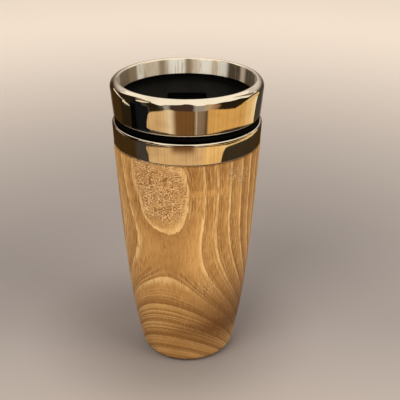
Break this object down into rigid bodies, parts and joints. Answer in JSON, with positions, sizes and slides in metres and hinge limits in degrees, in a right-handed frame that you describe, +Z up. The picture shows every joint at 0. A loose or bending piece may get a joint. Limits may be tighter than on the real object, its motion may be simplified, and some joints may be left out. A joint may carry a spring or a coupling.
{
  "type": "wooden travel mug",
  "caption": "Tapered turned-wood travel mug with a steel liner, polished steel collar and a steel-rimmed black screw lid with a sip slider.",
  "frame": {"origin": "middle of the foot, on the surface that the mug stands on", "axes": "+Z up along the turned axis, -Y towards the side with the sip hole"},
  "size_m": [0.0854, 0.0854, 0.172],
  "materials": {
    "turned_wood": "satin oiled hardwood with flowing growth rings",
    "plug_wood": "satin oiled hardwood, face grain",
    "brushed_steel": "brushed round the axis",
    "polished_steel": "mirror polished outside, brushed inside the lip",
    "black_plastic": "fine moulded satin",
    "silicone": "matte"
  },
  "bodies": {
    "mug": {"wood_sleeve": "turned_wood", "base_plug": "plug_wood", "liner_cup": "brushed_steel", "collar_band": "polished_steel", "neck_ring": "black_plastic"},
    "lid_seal": {"lid_gasket": "silicone"},
    "lid": {"lid_rim": "polished_steel", "lid_body": "black_plastic"},
    "slider": {"slider": "black_plastic", "slider_seal": "silicone"}
  },
  "joints": [
    {"name": "lid_rise", "type": "slide", "parent": "mug", "child": "lid_seal", "axis": [0, 0, 1], "range_m": [0, 0.0241]},
    {"name": "lid_turn", "type": "hinge", "parent": "lid_seal", "child": "lid", "pos_m": [0, 0, 0.152], "axis": [0, 0, 1], "range_deg": [0, 720]},
    {"name": "slider_slide", "type": "slide", "parent": "lid", "child": "slider", "axis": [0, 1, 0], "range_m": [0, 0.015]}
  ],
  "couplings": [
    {"joint": "lid_rise", "follows": "lid_turn", "m_per_rad": 0.0019099}
  ]
}
